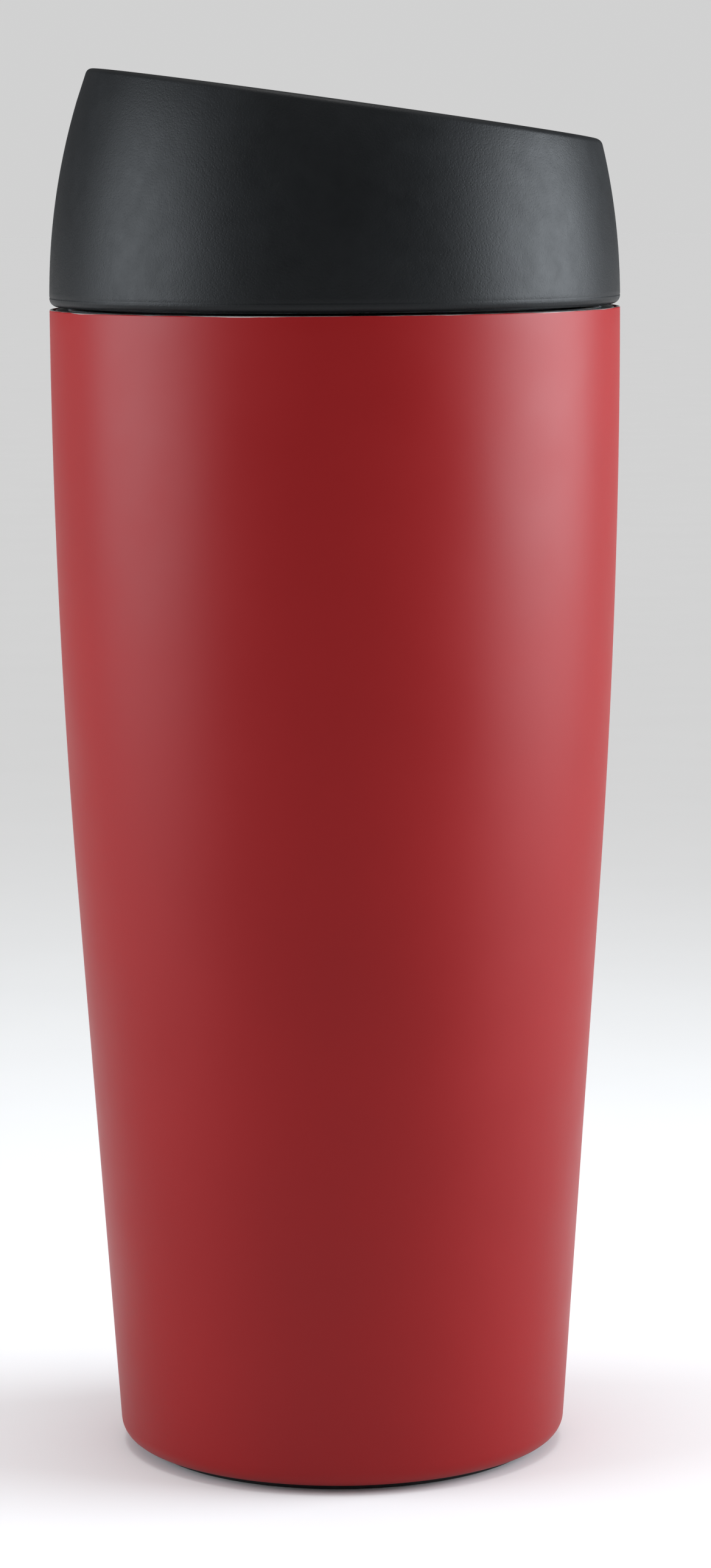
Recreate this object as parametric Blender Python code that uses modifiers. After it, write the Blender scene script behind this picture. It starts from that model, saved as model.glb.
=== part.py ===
"""Insulated travel mug: a double-walled steel mug, a screw-in lid and a push-button valve.

Lengths are in millimetres and become metres where a mesh is made. +Z is up, the origin is the centre
of the foot's resting face, and the lid's high side is at -X. Neighbouring pieces keep GAP between them.
Every joint's axis is the mug's own axis, so each moving group hangs from an empty on that axis.
"""

import math

import bmesh
import bpy
from mathutils import Matrix, Vector

OBJECT_NAME = "insulated_travel_mug"
MM = 0.001
GAP = 0.3
SEGMENTS = 36
SMALL_SEGMENTS = 24

# Mug body
MUG_RADIUS = 40.0
MUG_TOP_Z = 162.8
TAPER = math.radians(3.9)
CONE_TOP_Z = 80.0
FOOT_DROP = 0.9
SHEET = 0.5
VACUUM_GAP = 3.0
SHELL_CORNER = 2.8
SHELL_HOLE_RADIUS = 28.9
NECK_RADIUS = 34.8
LINER_FLOOR_Z = 10.3
LINER_CORNER = 9.0
SHIELD_BOTTOM_Z = 18.0
SHIELD_TOP_Z = 140.0
SHIELD_SHEET = 0.4
FOOT_RADIUS = 28.6
FOOT_HOLE_RADIUS = 24.0
BASE_PLATE_Z = 4.6
BASE_PLATE_RADIUS = 31.0
DIMPLE_RADIUS = 5.5
DIMPLE_DEPTH = 1.4
VENT_RADIUS = 1.6
VACUUM_PLUG_HEAD = 0.4
VACUUM_PLUG_RADIUS = 4.0
VACUUM_PLUG_HEIGHT = 0.7
GETTER_RADIUS = 3.0
GETTER_HEIGHT = 1.5
GETTER_X = 16.0

# Lid casing
CASING_Z = MUG_TOP_Z + 0.4
DOME_Z = CASING_Z + 0.8
DOME_ARC = 92.9
RIM_Z = 191.3
SLOPE = math.tan(math.radians(8.2))
SLANT_Z = 181.5
CASING_WALL = 2.2
CASING_FOOT_ROUND = 1.2
RIM_ROUND = 1.05
DISH_Z = 180.5
DISH_WALL = 1.8
THROAT_Z = 178.0
THROAT_RADIUS = 28.5
THROAT_WALL = 2.0
THROAT_BOTTOM_Z = 153.8
SHOULDER_Z = 167.5
SHOULDER_RADIUS = 33.2
SHOULDER_HEIGHT = 1.8

# Threaded plug and its seals
PLUG_RADIUS = 32.6
PLUG_BORE = THROAT_RADIUS + THROAT_WALL + GAP
PLUG_BOTTOM_Z = 146.5
SEAT_RADIUS = 22.5
SEAT_HEIGHT = 2.2
GASKET_RADIUS = 37.4
GASKET_BORE = 35.0
GASKET_HEIGHT = 1.2
FLANGE_Z = MUG_TOP_Z + GASKET_HEIGHT + 2 * GAP
FLANGE_RADIUS = 37.3
FLANGE_HEIGHT = SHOULDER_Z - GAP - FLANGE_Z
THROAT_SEAL_SECTION = 1.6
THREAD_LEAD = 15.0
THREAD_STARTS = 3
THREAD_STEPS = 10
THREAD_Z = 150.0
THREAD_OFFSET = 1.7
THREAD_BITE = 1.6
THREAD_ROOT = 2.0
THREAD_TIP = 0.9
THREAD_SINK = 0.3

# Valve cage: the guide sleeve on three spokes
SLEEVE_RADIUS = 12.6
SLEEVE_BORE = 10.0
SLEEVE_BOTTOM_Z = 147.2
SLEEVE_FLOOR_Z = 150.2
SLEEVE_TOP_Z = 173.5
LEDGE_Z = 168.0
LEDGE_BORE = 10.9
CAGE_Z = PLUG_BOTTOM_Z + SEAT_HEIGHT + GAP
CAGE_HEIGHT = THROAT_BOTTOM_Z - GAP - CAGE_Z
CAGE_BORE = 28.7
SPOKE_WIDTH = 2.4
SPOKES = 3
SLEEVE_CAP_TOP_Z = 175.2
SLEEVE_CAP_BORE = 7.2

# Push button, plunger, latch and valve
TRAVEL = 5.0
BUTTON_RADIUS = 24.5
BUTTON_WALL = 1.7
BUTTON_DROP = 3.5
BUTTON_SKIRT_Z = 176.5
BUTTON_SLANT_Z = 181.0
BUTTON_SLANT_TOP_Z = 185.4
SOCKET_RADIUS = 5.2
SOCKET_Z = SLEEVE_CAP_TOP_Z + TRAVEL + 0.6
SHAFT_RADIUS = 4.8
PIN_RADIUS = 2.5
PIN_TOP_Z = 184.8
PISTON_RADIUS = 9.5
PISTON_Z = 163.5
PISTON_HEIGHT = 2.0
SHAFT_BOTTOM_Z = 158.0
LATCH_HEIGHT = 2.6
RIB_LEAD = 60.0
RIB_STARTS = 3
RIB_STEPS = 6
RIB_RADIUS = 6.6
RIB_SINK = 0.4
RIB_Z = 168.7
RIB_HEIGHT = 3.4
RIB_SWEEP = 40.0
SLOT_LEAD_IN = 3.5
STEM_RADIUS = 3.0
STEM_CHAMFER = 0.4
STEM_TOP_Z = 172.0
STEM_BOTTOM_Z = 139.3
STEM_SEAL_SECTION = 1.6
WASHER_HEIGHT = 0.8
SPRING_WIRE = 1.0
SPRING_RADIUS = 7.4
SPRING_TURNS = 4.5
SPRING_POINTS = 54
DISC_RADIUS = 24.9
DISC_BOTTOM_Z = 142.4
DISC_FLANGE = 2.0
DISC_RIM_WIDTH = 4.0
DISC_HUB_RADIUS = 6.8
VALVE_SEAL_BORE = 22.2
VALVE_SEAL_LIP = 0.3
NUT_RADIUS = 5.8
NUT_HEIGHT = 2.6

RED_LACQUER = ((0.42, 0.012, 0.014, 1.0), 0.0, 0.38)
STEEL = ((0.62, 0.61, 0.59, 1.0), 1.0, 0.28)
COPPER = ((0.80, 0.42, 0.28, 1.0), 1.0, 0.35)
BLACK_PLASTIC = ((0.022, 0.024, 0.026, 1.0), 0.0, 0.50)
GREY_PLASTIC = ((0.16, 0.17, 0.18, 1.0), 0.0, 0.45)
BLACK_RUBBER = ((0.015, 0.015, 0.015, 1.0), 0.0, 0.80)
SILICONE = ((0.62, 0.64, 0.65, 1.0), 0.0, 0.60)


def shell_radius(z):
    """The mug's outer radius: an arc that is upright at the top and runs into a straight cone."""
    arc = (MUG_TOP_Z - CONE_TOP_Z) / math.sin(TAPER)
    drop = MUG_TOP_Z - max(z, CONE_TOP_Z)
    radius = MUG_RADIUS - arc + math.sqrt(arc**2 - drop**2)
    return radius - max(CONE_TOP_Z - z, 0.0) * math.tan(TAPER)


def liner_radius(z):
    """The liner's inner radius: it follows the shell, up to the width of the neck."""
    return min(NECK_RADIUS, shell_radius(z) - 2 * SHEET - VACUUM_GAP)


def dome_radius(z):
    """The lid's outer radius: upright at its foot, then an arc that leans in."""
    rise = max(z - DOME_Z, 0.0)
    return MUG_RADIUS - DOME_ARC + math.sqrt(DOME_ARC**2 - rise**2)


def levels(low, high, count):
    """Heights from low to high in equal steps, both ends included."""
    return [low + (high - low) * i / count for i in range(count + 1)]


def rounded(corners):
    """The outline through (r, z) corners, where a third number rounds its corner to that radius."""
    outline = []
    for i, corner in enumerate(corners):
        here = Vector(corner[:2])
        if len(corner) == 2:
            outline.append(here)
            continue
        back = (Vector(corners[i - 1][:2]) - here).normalized()
        ahead = (Vector(corners[(i + 1) % len(corners)][:2]) - here).normalized()
        half = back.angle(ahead) / 2
        centre = here + (back + ahead).normalized() * corner[2] / math.sin(half)
        start = here + back * corner[2] / math.tan(half) - centre
        turn = math.copysign(math.pi - 2 * half, back.y * ahead.x - back.x * ahead.y)
        steps = max(2, round(abs(turn) / math.radians(40)))
        for step in range(steps + 1):
            outline.append(centre + Matrix.Rotation(turn * step / steps, 2) @ start)
    return outline


def clear_scene():
    for leftover in list(bpy.data.objects):
        bpy.data.objects.remove(leftover, do_unlink=True)


def add_collection(name):
    collection = bpy.data.collections.new(name)
    bpy.context.scene.collection.children.link(collection)
    return collection


def add_material(name, look):
    material = bpy.data.materials.new(name)
    material.use_nodes = True
    surface = material.node_tree.nodes["Principled BSDF"]
    surface.inputs["Base Color"].default_value = look[0]
    surface.inputs["Metallic"].default_value = look[1]
    surface.inputs["Roughness"].default_value = look[2]
    material.diffuse_color = look[0]
    return material


def place(piece, look):
    """Puts a finished shape among the parts, or among the cutters if it has no look."""
    for collection in list(piece.users_collection):
        collection.objects.unlink(piece)
    if look is None:
        bpy.data.collections["cutters"].objects.link(piece)
        piece.hide_render = True
        piece.display_type = "WIRE"
    else:
        bpy.data.collections[OBJECT_NAME].objects.link(piece)
        piece.data.materials.append(add_material(piece.name, look))
    return piece


def shade(mesh):
    mesh.shade_smooth()
    mesh.set_sharp_from_angle(angle=math.radians(32))


def baked(piece):
    """Makes a shape's modifiers part of its mesh."""
    evaluated = piece.evaluated_get(bpy.context.evaluated_depsgraph_get())
    mesh = bpy.data.meshes.new_from_object(evaluated)
    piece.modifiers.clear()
    piece.data = mesh
    shade(mesh)
    return piece


def outline_object(name, outline, closed):
    """An outline of (r, z) points, standing in the XZ plane."""
    mesh = bpy.data.meshes.new(name)
    edges = [(i, i + 1) for i in range(len(outline) - 1)]
    if closed:
        edges.append((len(outline) - 1, 0))
    mesh.from_pydata([(r * MM, 0.0, z * MM) for r, z in outline], edges, [])
    piece = bpy.data.objects.new(name, mesh)
    bpy.context.scene.collection.objects.link(piece)
    return piece


def turned(name, look, corners, segments=SEGMENTS):
    """A turned shape. Its outline runs down its outer side, and may start and end on the axis."""
    solid = corners[0][0] == 0.0
    piece = outline_object(name, rounded(corners), closed=not solid)
    screw = piece.modifiers.new("Turn", "SCREW")
    screw.steps = segments
    screw.render_steps = segments
    screw.use_merge_vertices = solid
    screw.merge_threshold = 0.00001
    return place(baked(piece), look)


def helical_ribs(name, corners, lead, sweep, steps, count):
    """Ribs that climb by lead in a turn: one section swept through an angle, repeated round the axis."""
    piece = outline_object(name, rounded(corners), closed=True)
    screw = piece.modifiers.new("Climb", "SCREW")
    screw.angle = math.radians(sweep)
    screw.screw_offset = lead * sweep / 360 * MM
    screw.steps = steps
    screw.render_steps = steps
    screw.merge_threshold = 0.00001
    baked(piece)
    ribs = bmesh.new()
    ribs.from_mesh(piece.data)
    bmesh.ops.holes_fill(ribs, edges=[edge for edge in ribs.edges if edge.is_boundary])
    bmesh.ops.recalc_face_normals(ribs, faces=ribs.faces)
    first = ribs.verts[:] + ribs.edges[:] + ribs.faces[:]
    for i in range(1, count):
        copy = bmesh.ops.duplicate(ribs, geom=first)["geom"]
        corners_of_copy = [item for item in copy if isinstance(item, bmesh.types.BMVert)]
        turn = Matrix.Rotation(math.tau * i / count, 3, "Z")
        bmesh.ops.rotate(ribs, cent=(0, 0, 0), matrix=turn, verts=corners_of_copy)
    ribs.to_mesh(piece.data)
    ribs.free()
    return place(piece, None)


def ring(name, look, radius, section, z, segments=SEGMENTS):
    """A round-section seal. Radius and z are those of the middle of its section."""
    bpy.ops.mesh.primitive_torus_add(
        major_segments=segments,
        minor_segments=6,
        major_radius=radius * MM,
        minor_radius=section / 2 * MM,
        location=(0.0, 0.0, z * MM),
    )
    piece = bpy.context.object
    piece.name = name
    shade(piece.data)
    return place(piece, look)


def cylinder(name, look, radius, low, high, vertices=SMALL_SEGMENTS, x=0.0):
    bpy.ops.mesh.primitive_cylinder_add(
        vertices=vertices,
        radius=radius * MM,
        depth=(high - low) * MM,
        location=(x * MM, 0.0, (low + high) / 2 * MM),
    )
    piece = bpy.context.object
    piece.name = name
    shade(piece.data)
    return place(piece, look)


def combine(piece, other, operation):
    boolean = piece.modifiers.new(other.name, "BOOLEAN")
    boolean.operation = operation
    boolean.solver = "EXACT"
    boolean.object = other


def slant(piece, low, high, wall_radius=None):
    """Tips a turned shape's upper end to the lid's slope, more and more from low to high.

    With a wall_radius function, the points move up or down along that wall instead of straight.
    """
    for vertex in piece.data.vertices:
        z = vertex.co.z / MM
        weight = min(max((z - low) / (high - low), 0.0), 1.0)
        radius = vertex.co.xy.length / MM
        if weight == 0.0 or radius == 0.0:
            continue
        cosine = vertex.co.x / MM / radius
        new_z = z
        new_radius = radius
        for _ in range(6):
            new_z = z - SLOPE * weight * new_radius * cosine
            if wall_radius:
                new_radius = radius + wall_radius(new_z) - wall_radius(z)
        vertex.co.xy *= new_radius / radius
        vertex.co.z = new_z * MM
    shade(piece.data)


# Mug body


def make_outer_shell():
    bottom = FOOT_DROP
    side = [(shell_radius(z), z) for z in levels(MUG_TOP_Z, CONE_TOP_Z, 4)]
    inside = [(r - SHEET, z) for r, z in reversed(side)]
    floor = bottom + SHEET
    corners = [
        *side,
        (shell_radius(bottom), bottom, SHELL_CORNER),
        (SHELL_HOLE_RADIUS, bottom),
        (SHELL_HOLE_RADIUS, floor),
        (shell_radius(floor) - SHEET, floor, SHELL_CORNER - SHEET),
        *inside,
    ]
    return turned("outer_shell", RED_LACQUER, corners)


def make_inner_liner():
    outer_floor = LINER_FLOOR_Z - SHEET
    heights = levels(MUG_TOP_Z - SHEET, CONE_TOP_Z, 4)
    outside = [(liner_radius(z) + SHEET, z) for z in heights[1:]]
    inside = [(liner_radius(z), z) for z in reversed(heights[1:])]
    lip_radius = MUG_RADIUS - SHEET - GAP
    corners = [
        (0.0, LINER_FLOOR_Z),
        (liner_radius(LINER_FLOOR_Z), LINER_FLOOR_Z, LINER_CORNER),
        *inside,
        (NECK_RADIUS, MUG_TOP_Z, SHEET),
        (lip_radius, MUG_TOP_Z),
        (lip_radius, MUG_TOP_Z - SHEET),
        (NECK_RADIUS + SHEET, MUG_TOP_Z - SHEET),
        *outside,
        (liner_radius(outer_floor) + SHEET, outer_floor, LINER_CORNER + SHEET),
        (0.0, outer_floor),
    ]
    liner = turned("inner_liner", STEEL, corners)
    tip = NECK_RADIUS - THREAD_BITE
    root = NECK_RADIUS + THREAD_SINK
    combine(liner, thread("mouth_thread", root, tip, THREAD_Z + THREAD_OFFSET), "UNION")
    return liner


def thread(name, root, tip, z):
    """Screw thread ribs from a root radius to a tip radius, starting at height z."""
    if root > tip:
        section = rib_section(root, THREAD_ROOT, tip, THREAD_TIP, z)
    else:
        section = rib_section(tip, THREAD_TIP, root, THREAD_ROOT, z)
    sweep = THREAD_STEPS * 360 / SEGMENTS
    return helical_ribs(name, section, THREAD_LEAD, sweep, THREAD_STEPS, THREAD_STARTS)


def rib_section(outer, outer_height, inner, inner_height, z):
    """A rib's four corners: a face at the outer radius and one at the inner radius, centred on z."""
    return [
        (outer, z + outer_height / 2),
        (outer, z - outer_height / 2),
        (inner, z - inner_height / 2),
        (inner, z + inner_height / 2),
    ]


def make_radiation_shield():
    heights = levels(SHIELD_TOP_Z, SHIELD_BOTTOM_Z, 4)
    outside = [(liner_radius(z) + SHEET + 2 * SHIELD_SHEET, z) for z in heights]
    inside = [(r - SHIELD_SHEET, z) for r, z in reversed(outside)]
    return turned("radiation_shield", COPPER, [*outside, *inside])


def make_base():
    top = BASE_PLATE_Z + SHEET
    dimple = BASE_PLATE_Z + DIMPLE_DEPTH
    plate = [
        (BASE_PLATE_RADIUS, top),
        (BASE_PLATE_RADIUS, BASE_PLATE_Z),
        (DIMPLE_RADIUS + 1.0, BASE_PLATE_Z),
        (DIMPLE_RADIUS, dimple),
        (VENT_RADIUS, dimple),
        (VENT_RADIUS, dimple + SHEET),
        (DIMPLE_RADIUS - 0.4, dimple + SHEET),
        (DIMPLE_RADIUS + 0.8, top),
    ]
    plug_top = dimple + SHEET + VACUUM_PLUG_HEAD
    plug_bottom = dimple - GAP - VACUUM_PLUG_HEIGHT
    plug = [
        (0.0, plug_top),
        (VENT_RADIUS - GAP, plug_top),
        (VENT_RADIUS - GAP, dimple - GAP),
        (VACUUM_PLUG_RADIUS, dimple - GAP),
        (VACUUM_PLUG_RADIUS - 0.5, plug_bottom),
        (0.0, plug_bottom),
    ]
    foot_top = BASE_PLATE_Z - GAP
    foot = [
        (FOOT_RADIUS, foot_top),
        (FOOT_RADIUS, 0.0, 0.6),
        (FOOT_HOLE_RADIUS, 0.0, 0.6),
        (FOOT_HOLE_RADIUS, foot_top),
    ]
    getter_z = top + GAP
    getter_top = getter_z + GETTER_HEIGHT
    return [
        turned("base_plate", STEEL, plate),
        turned("vacuum_plug", STEEL, plug, 16),
        cylinder("getter", STEEL, GETTER_RADIUS, getter_z, getter_top, 16, x=GETTER_X),
        turned("foot_ring", BLACK_RUBBER, foot),
    ]


# Lid


def make_lid_casing():
    throat_outer = THROAT_RADIUS + THROAT_WALL
    inner_foot = MUG_RADIUS - CASING_WALL
    side = [(dome_radius(z), z) for z in levels(RIM_Z, DOME_Z, 4)]
    under_dish = DISH_Z - DISH_WALL
    corners = [
        (*side[0], RIM_ROUND),
        *side[1:-1],
        (MUG_RADIUS, CASING_Z, CASING_FOOT_ROUND),
        (inner_foot, CASING_Z),
        (inner_foot, DOME_Z),
        (dome_radius(under_dish) - CASING_WALL, under_dish),
        (throat_outer, THROAT_Z - DISH_WALL),
        (throat_outer, SHOULDER_Z + SHOULDER_HEIGHT),
        (SHOULDER_RADIUS, SHOULDER_Z + SHOULDER_HEIGHT),
        (SHOULDER_RADIUS, SHOULDER_Z),
        (throat_outer, SHOULDER_Z),
        (throat_outer, THROAT_BOTTOM_Z),
        (THROAT_RADIUS, THROAT_BOTTOM_Z),
        (THROAT_RADIUS, THROAT_Z, 1.0),
        (dome_radius(DISH_Z) - CASING_WALL, DISH_Z, 2.0),
        (dome_radius(RIM_Z) - CASING_WALL, RIM_Z, RIM_ROUND),
    ]
    casing = turned("lid_casing", BLACK_PLASTIC, corners)
    slant(casing, SLANT_Z, RIM_Z - RIM_ROUND, dome_radius)
    return casing


def make_plug():
    flange_top = FLANGE_Z + FLANGE_HEIGHT
    seal_pocket = PLUG_BORE + THROAT_SEAL_SECTION + 2 * GAP
    pocket_z = flange_top - THROAT_SEAL_SECTION - 0.2
    seat_top = PLUG_BOTTOM_Z + SEAT_HEIGHT
    corners = [
        (FLANGE_RADIUS, flange_top),
        (FLANGE_RADIUS, FLANGE_Z),
        (PLUG_RADIUS, FLANGE_Z, 1.0),
        (PLUG_RADIUS, PLUG_BOTTOM_Z, 1.0),
        (SEAT_RADIUS, PLUG_BOTTOM_Z),
        (SEAT_RADIUS, seat_top),
        (PLUG_BORE, seat_top),
        (PLUG_BORE, pocket_z),
        (seal_pocket, pocket_z),
        (seal_pocket, flange_top),
    ]
    plug = turned("threaded_plug", BLACK_PLASTIC, corners)
    root = PLUG_RADIUS - THREAD_SINK
    combine(plug, thread("plug_thread", root, PLUG_RADIUS + THREAD_BITE, THREAD_Z), "UNION")
    seal_radius = PLUG_BORE + THROAT_SEAL_SECTION / 2 + 0.1
    seal_z = pocket_z + THROAT_SEAL_SECTION / 2 + 0.15
    return [plug, ring("throat_seal", SILICONE, seal_radius, THROAT_SEAL_SECTION - 0.1, seal_z)]


def make_lid_gasket():
    low = MUG_TOP_Z + GAP
    high = low + GASKET_HEIGHT
    corners = [
        (GASKET_RADIUS, high),
        (GASKET_RADIUS, low),
        (GASKET_BORE, low),
        (GASKET_BORE, high),
    ]
    return turned("lid_gasket", SILICONE, corners)


def make_valve_cage():
    groove = STEM_RADIUS + STEM_SEAL_SECTION + 3 * GAP
    groove_z = SLEEVE_FLOOR_Z - STEM_SEAL_SECTION - GAP
    stem_hole = STEM_RADIUS + GAP + 0.1
    sleeve = [
        (SLEEVE_RADIUS, SLEEVE_TOP_Z),
        (SLEEVE_RADIUS, SLEEVE_BOTTOM_Z),
        (stem_hole, SLEEVE_BOTTOM_Z),
        (stem_hole, groove_z),
        (groove, groove_z),
        (groove, SLEEVE_FLOOR_Z),
        (SLEEVE_BORE, SLEEVE_FLOOR_Z),
        (SLEEVE_BORE, LEDGE_Z),
        (LEDGE_BORE, LEDGE_Z),
        (LEDGE_BORE, SLEEVE_TOP_Z),
    ]
    cage_radius = PLUG_BORE - GAP
    cage_top = CAGE_Z + CAGE_HEIGHT
    rim = [
        (cage_radius, cage_top),
        (cage_radius, CAGE_Z),
        (CAGE_BORE, CAGE_Z),
        (CAGE_BORE, cage_top),
    ]
    cage = turned("valve_cage", GREY_PLASTIC, sleeve, SMALL_SEGMENTS)
    combine(cage, spokes("cage_spokes"), "UNION")
    combine(cage, turned("cage_rim", None, rim), "UNION")
    seal_radius = STEM_RADIUS + GAP + STEM_SEAL_SECTION / 2
    seal_z = groove_z + GAP + STEM_SEAL_SECTION / 2
    return [cage, ring("stem_seal", SILICONE, seal_radius, STEM_SEAL_SECTION, seal_z, SMALL_SEGMENTS)]


def spokes(name):
    """Bars from the sleeve's wall to the cage's rim."""
    inner = SLEEVE_RADIUS - 1.0
    outer = CAGE_BORE + 0.9
    bars = bmesh.new()
    for i in range(SPOKES):
        corners = bmesh.ops.create_cube(bars, size=1.0)["verts"]
        size = Vector((outer - inner, SPOKE_WIDTH, CAGE_HEIGHT - 1.0))
        middle = Vector(((outer + inner) / 2, 0.0, CAGE_Z + CAGE_HEIGHT / 2))
        bmesh.ops.scale(bars, vec=size * MM, verts=corners)
        bmesh.ops.translate(bars, vec=middle * MM, verts=corners)
        turn = Matrix.Rotation(math.tau * (i + 0.5) / SPOKES, 3, "Z")
        bmesh.ops.rotate(bars, cent=(0, 0, 0), matrix=turn, verts=corners)
    mesh = bpy.data.meshes.new(name)
    bars.to_mesh(mesh)
    bars.free()
    return place(bpy.data.objects.new(name, mesh), None)


def make_sleeve_cap():
    low = LEDGE_Z + GAP + LATCH_HEIGHT + GAP
    flange_z = SLEEVE_TOP_Z + GAP
    corners = [
        (SLEEVE_RADIUS, SLEEVE_CAP_TOP_Z, 0.5),
        (SLEEVE_RADIUS, flange_z),
        (LEDGE_BORE - GAP, flange_z),
        (LEDGE_BORE - GAP, low),
        (SLEEVE_CAP_BORE, low),
        (SLEEVE_CAP_BORE, SLEEVE_CAP_TOP_Z),
    ]
    return turned("sleeve_cap", GREY_PLASTIC, corners, SMALL_SEGMENTS)


# Button, latch and valve


def make_button_cap():
    top = RIM_Z - BUTTON_DROP
    under = top - BUTTON_WALL
    bore = PIN_RADIUS + GAP
    corners = [
        (0.0, top),
        (BUTTON_RADIUS, top, 1.0),
        (BUTTON_RADIUS, BUTTON_SKIRT_Z, 0.5),
        (BUTTON_RADIUS - BUTTON_WALL, BUTTON_SKIRT_Z, 0.5),
        (BUTTON_RADIUS - BUTTON_WALL, under),
        (SOCKET_RADIUS, under),
        (SOCKET_RADIUS, SOCKET_Z),
        (bore, SOCKET_Z),
        (bore, PIN_TOP_Z + 0.7),
        (0.0, PIN_TOP_Z + 0.7),
    ]
    cap = turned("button_cap", BLACK_PLASTIC, corners)
    slant(cap, BUTTON_SLANT_Z, BUTTON_SLANT_TOP_Z)
    return cap


def make_plunger():
    bore = STEM_RADIUS + GAP
    piston_top = PISTON_Z + PISTON_HEIGHT
    shoulder = SOCKET_Z - GAP
    corners = [
        (0.0, PIN_TOP_Z),
        (PIN_RADIUS, PIN_TOP_Z),
        (PIN_RADIUS, shoulder),
        (SHAFT_RADIUS, shoulder),
        (SHAFT_RADIUS, piston_top),
        (PISTON_RADIUS, piston_top),
        (PISTON_RADIUS, PISTON_Z),
        (SHAFT_RADIUS, PISTON_Z),
        (SHAFT_RADIUS, SHAFT_BOTTOM_Z),
        (bore, SHAFT_BOTTOM_Z),
        (bore, STEM_TOP_Z + GAP),
        (0.0, STEM_TOP_Z + GAP),
    ]
    plunger = turned("plunger", GREY_PLASTIC, corners, SMALL_SEGMENTS)
    root = SHAFT_RADIUS - RIB_SINK
    section = rib_section(RIB_RADIUS, RIB_HEIGHT, root, RIB_HEIGHT, RIB_Z)
    ribs = helical_ribs("plunger_ribs", section, RIB_LEAD, RIB_SWEEP, RIB_STEPS, RIB_STARTS)
    combine(plunger, ribs, "UNION")
    return plunger


def make_latch_ring():
    """A ring whose slots follow the plunger's ribs, so that it turns as the plunger slides."""
    low = LEDGE_Z + GAP
    high = low + LATCH_HEIGHT
    bore = SHAFT_RADIUS + GAP + 0.1
    outer = LEDGE_BORE - GAP
    corners = [(outer, high), (outer, low), (bore, low), (bore, high)]
    latch = turned("latch_ring", GREY_PLASTIC, corners, SMALL_SEGMENTS)
    slot_height = RIB_HEIGHT + 4 * GAP
    root = SHAFT_RADIUS - RIB_SINK
    section = rib_section(RIB_RADIUS + GAP, slot_height, root, slot_height, RIB_Z - SLOT_LEAD_IN)
    slots = helical_ribs("latch_slots", section, RIB_LEAD, RIB_SWEEP + 20.0, RIB_STEPS + 3, RIB_STARTS)
    slots.rotation_euler.z = -math.tau * SLOT_LEAD_IN / RIB_LEAD
    combine(latch, slots, "DIFFERENCE")
    return latch


def make_spring():
    low = SLEEVE_FLOOR_Z + 2 * GAP + WASHER_HEIGHT + SPRING_WIRE / 2
    high = PISTON_Z - GAP - SPRING_WIRE / 2
    curve = bpy.data.curves.new("spring", "CURVE")
    curve.dimensions = "3D"
    curve.bevel_depth = SPRING_WIRE / 2 * MM
    curve.bevel_resolution = 2
    curve.use_fill_caps = True
    wire = curve.splines.new("POLY")
    wire.points.add(SPRING_POINTS - 1)
    for i, point in enumerate(wire.points):
        part = i / (SPRING_POINTS - 1)
        angle = math.tau * SPRING_TURNS * part
        z = low + (high - low) * part
        point.co = (
            SPRING_RADIUS * math.cos(angle) * MM,
            SPRING_RADIUS * math.sin(angle) * MM,
            z * MM,
            1.0,
        )
    return place(bpy.data.objects.new("spring", curve), STEEL)


def make_spring_washer():
    low = SLEEVE_FLOOR_Z + GAP
    high = low + WASHER_HEIGHT
    outer = SLEEVE_BORE - GAP
    bore = STEM_RADIUS + GAP + 0.1
    corners = [(outer, high), (outer, low), (bore, low), (bore, high)]
    return turned("spring_washer", STEEL, corners, SMALL_SEGMENTS)


def make_stem():
    corners = [
        (0.0, STEM_TOP_Z),
        (STEM_RADIUS - STEM_CHAMFER, STEM_TOP_Z),
        (STEM_RADIUS, STEM_TOP_Z - STEM_CHAMFER),
        (STEM_RADIUS, STEM_BOTTOM_Z + STEM_CHAMFER),
        (STEM_RADIUS - STEM_CHAMFER, STEM_BOTTOM_Z),
        (0.0, STEM_BOTTOM_Z),
    ]
    return turned("valve_stem", STEEL, corners, SMALL_SEGMENTS)


def make_valve():
    bore = STEM_RADIUS + GAP
    boss_radius = SEAT_RADIUS - 2 * GAP
    boss_top = SLEEVE_BOTTOM_Z - GAP
    rebate = DISC_BOTTOM_Z + DISC_FLANGE
    disc = [
        (boss_radius, boss_top),
        (boss_radius, rebate),
        (DISC_RADIUS, rebate),
        (DISC_RADIUS, DISC_BOTTOM_Z, 0.6),
        (DISC_RADIUS - DISC_RIM_WIDTH, DISC_BOTTOM_Z),
        (DISC_RADIUS - DISC_RIM_WIDTH - 1.0, rebate),
        (DISC_HUB_RADIUS + 1.0, rebate),
        (DISC_HUB_RADIUS, DISC_BOTTOM_Z),
        (bore, DISC_BOTTOM_Z),
        (bore, boss_top),
    ]
    seal_top = PLUG_BOTTOM_Z - GAP
    seal = [
        (DISC_RADIUS, seal_top),
        (DISC_RADIUS + VALVE_SEAL_LIP, rebate + GAP),
        (VALVE_SEAL_BORE, rebate + GAP),
        (VALVE_SEAL_BORE, seal_top),
    ]
    nut_top = DISC_BOTTOM_Z - GAP
    nut_low = nut_top - NUT_HEIGHT
    nut = cylinder("valve_nut", STEEL, NUT_RADIUS, nut_low, nut_top, 6)
    combine(nut, cylinder("nut_hole", None, bore, nut_low - 1.0, nut_top + 1.0), "DIFFERENCE")
    return [turned("valve_disc", GREY_PLASTIC, disc), turned("valve_seal", SILICONE, seal), nut]


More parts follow.
